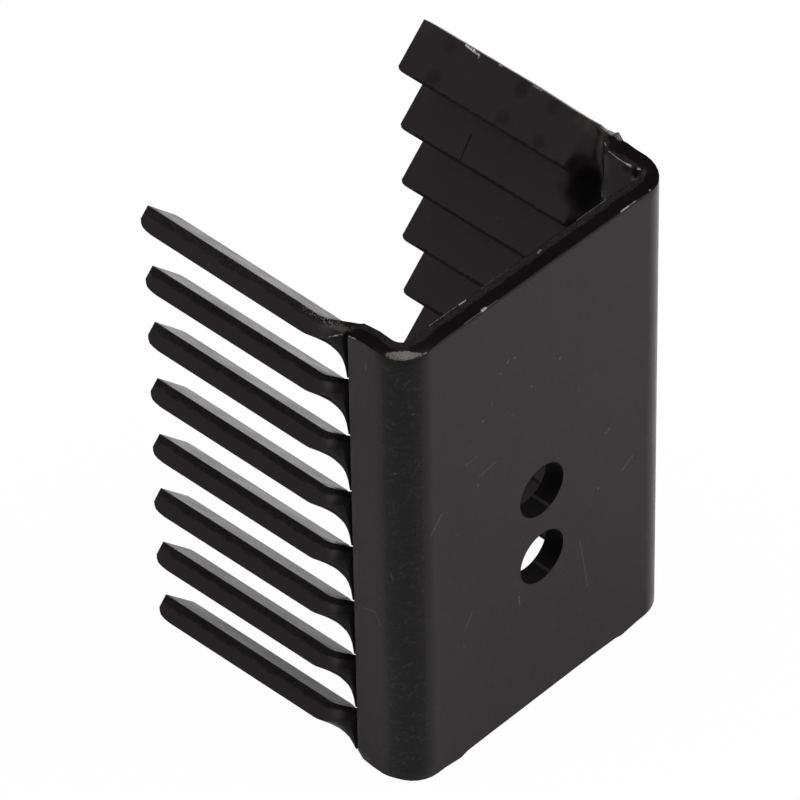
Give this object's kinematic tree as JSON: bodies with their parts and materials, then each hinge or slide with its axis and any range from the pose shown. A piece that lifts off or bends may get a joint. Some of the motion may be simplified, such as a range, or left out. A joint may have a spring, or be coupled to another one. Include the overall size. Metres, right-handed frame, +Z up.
{
  "type": "heat sink",
  "caption": "Channel heat sink folded from one black aluminium sheet, with a comb of twisted fins along each side and round mounting holes in its plate.",
  "frame": {"origin": "axis of the upper hole on the outer face of the plate", "axes": "+Z up along the bends, -Y out of the plate's outer face, +Y towards the fin tips"},
  "size_m": [0.027, 0.022, 0.0373],
  "materials": {
    "black_anodised": "satin black anodised"
  },
  "bodies": {
    "root": {"heat_sink": "black_anodised"}
  },
  "joints": []
}
